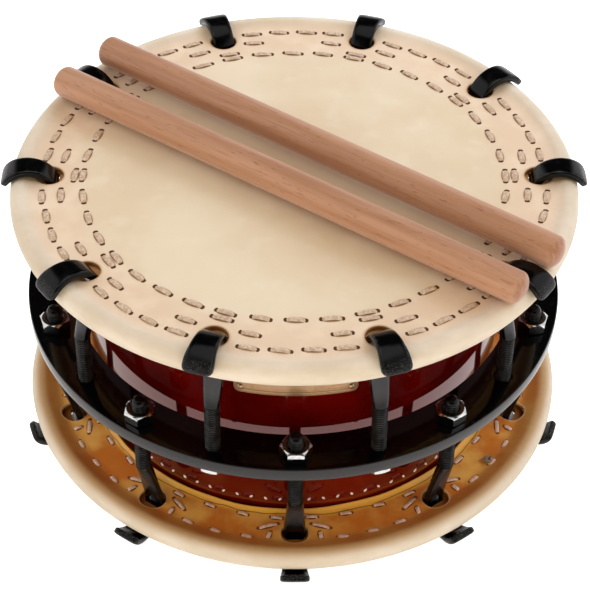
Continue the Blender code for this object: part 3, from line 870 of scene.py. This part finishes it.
bright_steel, shader, where = new_finish("bright_steel")
height = axes_of(where)[2]
handled = mottle(where, 380, 3)
scratches = fade(mottle(where, 900, 2, (1, 1, 12)), 0.55, 0.75)
plating = blend(fade(handled, 0.4, 0.8), paint(218, 218, 218), paint(178, 177, 175))
# The upper face of each nut above the flange and the lower face of each nut below it are painted dark: a
# painted dark reflection.
nut_top = NUT_SEAT["lower"] + NUT_HEIGHT
painted_dark_faces = fade(height, nut_top - 0.0002, nut_top - 0.0001)
painted_dark_faces = painted_dark_faces + fade(height, NUT_SEAT["upper"] + 0.0002, NUT_SEAT["upper"] + 0.0001)
lay_on(shader, Base_Color=blend(painted_dark_faces * 0.8, plating, paint(24, 23, 22)), Metallic=1.0,
       Roughness=0.04 + 0.08 * handled + 0.06 * scratches + 0.2 * painted_dark_faces,
       Normal=relief(handled, 0.0002, 0.06))

corner = NUT_ACROSS_FLATS / 2 / math.cos(math.pi / 6)
hexagon = bmesh.new()
bmesh.ops.create_cone(hexagon, cap_ends=True, segments=6, radius1=corner, radius2=corner,
                      depth=NUT_HEIGHT, matrix=Matrix.Translation((0, 0, NUT_HEIGHT / 2)))
lower_half = [*NUT_COUNTERSINK, *NUT_CHAMFER]
upper_half = [(out, NUT_HEIGHT - height) for out, height in reversed(lower_half)]
blank = turned(lower_half + upper_half, 72, closed=True)
nut_shape = carve(hexagon, blank, "INTERSECT")
nut = mesh_of("hex_nut", nut_shape, [bright_steel, bright_steel], crease=24)
for head in ("upper", "lower"):
    for number in range(1, HOOKS + 1):
        place = spoke(number - 1, FIRST_HOOK[head])
        place = place @ Matrix.Translation((BOLT_CIRCLE, 0, NUT_SEAT[head]))
        turned_nut = nut.copy()
        turned_nut.transform(place)
        fit_piece(f"{head}_plated_nut_{number:02d}", turned_nut, f"{head}_nut_{number:02d}",
                  "bright_steel", f"{head}_nut_{number:02d}")


# Nameplate
# A bare strip of sheet brass with rounded corners and a scribed border, bent to the shell's front and
# nailed on by a round-headed brass pin at each corner.

PLATE_WIDTH = 0.074
PLATE_HEIGHT = 0.030
PLATE_BOTTOM = 0.1240
PLATE_THICKNESS = 0.0007
PLATE_CORNER = 0.004
PLATE_LIFT = 0.0003
BORDER_INSET = 0.0026
PLATE_STEPS = (24, 8)
PIN_INSET = 0.0042
PIN_SEAT = 2 * PLATE_LIFT + PLATE_THICKNESS
PIN_HEAD = ((0.0, 0.0009), (0.0006, 0.00085), (0.0012, 0.00068), (0.0016, 0.0004), (0.0019, 0.0),
            (0.0007, 0.0))
PIN_SHANK = ((0.0007, -0.0076), (0.0, -0.009))


def on_shell(across, height, lift):
    """A point lifted off the shell's front, so far round from its middle line."""
    angle = across / BELLY_RADIUS - math.pi / 2
    out = shell_radius(height) + lift
    return Vector((out * math.cos(angle), out * math.sin(angle), height))


brass, shader, where = new_finish("brass")
x, y, z = axes_of(where)
across = abs(where.sum("ARCTAN2", x, -1 * y) * BELLY_RADIUS)
up = abs(z - (PLATE_BOTTOM + PLATE_HEIGHT / 2))
to_edge = where.sum("MINIMUM", PLATE_WIDTH / 2 - across, PLATE_HEIGHT / 2 - up)
scribed = fade(abs(to_edge - BORDER_INSET), 0.0004, 0.0001)
brushed = mottle(where, 420, 3, (14, 14, 0.08))
tarnish = fade(mottle(where, 120, 4), 0.50, 0.74) * 0.25
tarnish = tarnish + fade(to_edge, 0.0012, 0.0002) * 0.4
tone = blend(fade(brushed, 0.3, 0.7), paint(194, 153, 114), paint(210, 169, 131))
tone = blend(where.sum("MAXIMUM", tarnish, scribed * 0.8), tone, paint(122, 78, 44))
lay_on(shader, Base_Color=tone, Metallic=0.95, Roughness=0.22 + 0.12 * brushed + 0.2 * tarnish,
       Normal=relief(brushed - scribed, 0.0002, 0.3))

plate = bmesh.new()
bmesh.ops.create_grid(plate, x_segments=1, y_segments=1, size=0.5,
                      matrix=Matrix.Diagonal((PLATE_WIDTH, PLATE_HEIGHT, 1.0, 1.0)))
bmesh.ops.bevel(plate, geom=plate.verts, offset=PLATE_CORNER, segments=6, profile=0.5,
                affect="VERTICES", material=-1)
for axis, count, size in ((Vector((1, 0, 0)), PLATE_STEPS[0], PLATE_WIDTH),
                          (Vector((0, 1, 0)), PLATE_STEPS[1], PLATE_HEIGHT)):
    for i in range(1, count):
        bmesh.ops.bisect_plane(plate, geom=plate.verts[:] + plate.edges[:] + plate.faces[:],
                               dist=0.000001, plane_co=axis * (i / count - 0.5) * size, plane_no=axis)
raised = bmesh.ops.extrude_face_region(plate, geom=plate.faces[:])["geom"]
front = [part for part in raised if isinstance(part, bmesh.types.BMVert)]
bmesh.ops.translate(plate, vec=(0, 0, PLATE_THICKNESS), verts=front)
for vert in plate.verts:
    height = PLATE_BOTTOM + PLATE_HEIGHT / 2 + vert.co.y
    vert.co = on_shell(vert.co.x, height, PLATE_LIFT + vert.co.z)
bmesh.ops.recalc_face_normals(plate, faces=plate.faces)
fit_piece("brass_plate", mesh_of("brass_plate", plate, [brass]), "drum", "brass", "nameplate")

pin_profile = [(out, PIN_SEAT + height) for out, height in PIN_HEAD] + list(PIN_SHANK)
pins = bmesh.new()
for across in (PIN_INSET - PLATE_WIDTH / 2, PLATE_WIDTH / 2 - PIN_INSET):
    for height in (PLATE_BOTTOM + PIN_INSET, PLATE_BOTTOM + PLATE_HEIGHT - PIN_INSET):
        place = Matrix.Translation(on_shell(across, height, 0))
        place = place @ Matrix.Rotation(across / BELLY_RADIUS - math.pi / 2, 4, "Z")
        pin = turned(pin_profile, 20)
        bmesh.ops.transform(pin, matrix=place @ Matrix.Rotation(math.pi / 2, 4, "Y"), verts=pin.verts)
        pins.from_mesh(mesh_of("pin", pin, [brass]))
fit_piece("brass_pins", mesh_of("brass_pins", pins, [brass]), "drum", "brass",
          *(f"nameplate_pin_{number}" for number in range(1, 5)))


# Drumsticks
# Two plain sticks turned from beech, sanded and left unvarnished, with rounded ends. They lie loose
# across the rim, one on each side of two opposite hooks.

STICK_LENGTH = 0.347
STICK_RADIUS = 0.010
STICK_END = 0.006
STICK_Z = 0.1930
STICK_HEADINGS = {"front": math.radians(-36.0), "back": math.radians(-36.6)}
STICK_SHIFTS = {"front": 0.0019, "back": 0.0033}
STICK_OFFSETS = {"front": -0.0211, "back": 0.0200}
STICK_END_STEPS = 8
STICK_MIDDLE_STEPS = 12

beech, shader, where = new_finish("beech")
grain_heading = STICK_HEADINGS["front"]
grain = mottle(where, 160, 4, (18, 1, 1), grain_heading)
pores = fade(mottle(where, 900, 2, (22, 1, 1), grain_heading), 0.56, 0.68)
flecks = fade(mottle(where, 950, 2, (7, 1, 1), grain_heading), 0.64, 0.72)
wood = blend(fade(grain, 0.3, 0.7), paint(171, 122, 91), paint(191, 144, 114))
wood = blend(pores * 0.35, wood, paint(148, 98, 70))
x, y, _ = axes_of(where)
from_middle = abs(math.cos(grain_heading) * x + math.sin(grain_heading) * y - 0.0026)
end_rings = fade(mottle(where, 420, 3, (1, 1, 5), grain_heading), 0.4, 0.6)
wood = blend(fade(from_middle, 0.1685, 0.1715) * (0.2 + 0.4 * end_rings), wood, paint(146, 92, 58))
lay_on(shader, Base_Color=blend(flecks * 0.55, wood, paint(128, 78, 54)),
       Roughness=0.36 + 0.14 * grain, Sheen_Weight=0.5, Sheen_Roughness=0.4,
       Sheen_Tint=(1.0, 0.86, 0.82, 1.0),
       Normal=relief(grain - 0.6 * pores, 0.0003, 0.3))

shoulder = STICK_LENGTH / 2 - STICK_END
bends = [i * math.pi / 2 / STICK_END_STEPS for i in range(STICK_END_STEPS + 1)]
stick_end = [(STICK_RADIUS * math.sin(bend), shoulder + STICK_END * math.cos(bend)) for bend in bends]
other_end = [(out, -height) for out, height in reversed(stick_end)]
middle = [(STICK_RADIUS, shoulder * (1 - 2 * i / STICK_MIDDLE_STEPS))
          for i in range(1, STICK_MIDDLE_STEPS)]
for name, heading in STICK_HEADINGS.items():
    along = Vector((math.cos(heading), math.sin(heading), 0))
    aside = Vector((-along.y, along.x, 0))
    stick = turned(stick_end + middle + other_end, 48)
    rests_at = along * STICK_SHIFTS[name] + aside * STICK_OFFSETS[name] + Vector((0, 0, STICK_Z))
    place = Matrix.Translation(rests_at) @ Matrix.Rotation(heading, 4, "Z")
    bmesh.ops.transform(stick, matrix=place @ Matrix.Rotation(math.pi / 2, 4, "Y"), verts=stick.verts)
    stick_mesh = mesh_of(f"beech_stick_{name}", stick, [beech])
    fit_piece(f"beech_stick_{name}", stick_mesh, f"stick_{name}", "beech", f"drumstick_{name}")


# Studio
# A white sweep, lit by cool soft boxes at both sides and behind, a low one in front and a warm fill. The
# floor and the backdrop are white to the eye and in gloss, and most of the ceiling is dark in gloss, so
# that black paint stays black.

WHITE = (1.0, 1.0, 1.0, 1.0)
DARK_CEILING = (0.03, 0.03, 0.032, 1.0)
WARM_FILL = (0.50, 0.37, 0.18, 1.0)
COOL = (0.66, 0.78, 1.0)
NEUTRAL = (0.92, 0.95, 1.0)
SOFT_BOXES = (("left_box", (-1.2, 0.1, 1.1), (1.2, 1.2), 10.5, COOL),
              ("right_box", (1.2, 0.1, 1.1), (1.2, 1.2), 11.5, COOL),
              ("back_box", (0.5, 1.3, 1.0), (1.2, 1.2), 16.5, COOL),
              ("low_front", (-0.1, -1.4, 0.26), (2.0, 0.5), 10.0, NEUTRAL))
LAMP_AIM = Vector((0, 0, 0.1))
CAMERA_PLACE = (-0.01373, -0.89356, 0.8986)
CAMERA_TURNS = ((-0.95, "Z"), (47.503, "X"), (0.629, "Z"))
FOCAL_LENGTH = 113.13
SENSOR_WIDTH = 36.0


def seen_and_mirrored(shade):
    """Whether a ray comes straight from the camera, and whether it comes off a gloss."""
    return [shade.node("LightPath", output=ray) for ray in ("Is Camera Ray", "Is Glossy Ray")]


scene = bpy.context.scene
scene.view_settings.view_transform = "Standard"

world = bpy.data.worlds.new("studio")
world.use_nodes = True
scene.world = world
sky = Shade(world.node_tree)
seen, mirrored = seen_and_mirrored(sky)
sideways, _, rise = axes_of(sky.node("TexCoord", output="Generated"))
gloss = blend(fade(rise, 0.02, 0.30), WHITE, DARK_CEILING)
gloss = blend(fade(rise, 0.86, 0.93), gloss, WHITE)
gloss = blend(fade(abs(sideways), 0.45, 0.60), gloss, WHITE)
colour = blend(mirrored, WARM_FILL, gloss)
lay_on(world.node_tree.nodes["Background"], Color=blend(seen, colour, WHITE))

sweep, shader, where = new_finish("white_sweep")
seen, mirrored = seen_and_mirrored(where)
glow = blend(mirrored, blend(seen, (0, 0, 0, 1), (0.9, 0.9, 0.9, 1)), (0.6, 0.6, 0.6, 1))
lay_on(shader, Base_Color=blend(mottle(where, 3, 2), paint(244, 244, 244), paint(248, 248, 248)),
       Roughness=0.9, Emission_Color=glow, Emission_Strength=1.0)
floor_shape = bmesh.new()
bmesh.ops.create_grid(floor_shape, x_segments=8, y_segments=8, size=4.0)
floor = bpy.data.objects.new("floor", mesh_of("floor", floor_shape, [sweep]))
scene.collection.objects.link(floor)

for name, place, size, power, tint in SOFT_BOXES:
    lamp = bpy.data.lights.new(name, "AREA")
    lamp.shape = "RECTANGLE"
    lamp.size, lamp.size_y = size
    lamp.energy = power
    lamp.color = tint
    softbox = bpy.data.objects.new(name, lamp)
    facing = (LAMP_AIM - Vector(place)).to_track_quat("-Z", "Y")
    softbox.matrix_world = Matrix.Translation(place) @ facing.to_matrix().to_4x4()
    softbox.visible_glossy = False
    scene.collection.objects.link(softbox)

lens = bpy.data.cameras.new("camera")
lens.sensor_fit = "HORIZONTAL"
lens.sensor_width = SENSOR_WIDTH
lens.lens = FOCAL_LENGTH
camera = bpy.data.objects.new("camera", lens)
scene.collection.objects.link(camera)
aim = Matrix.Translation(CAMERA_PLACE)
for turn, axis in CAMERA_TURNS:
    aim = aim @ Matrix.Rotation(math.radians(turn), 4, axis)
camera.matrix_world = aim
scene.camera = camera
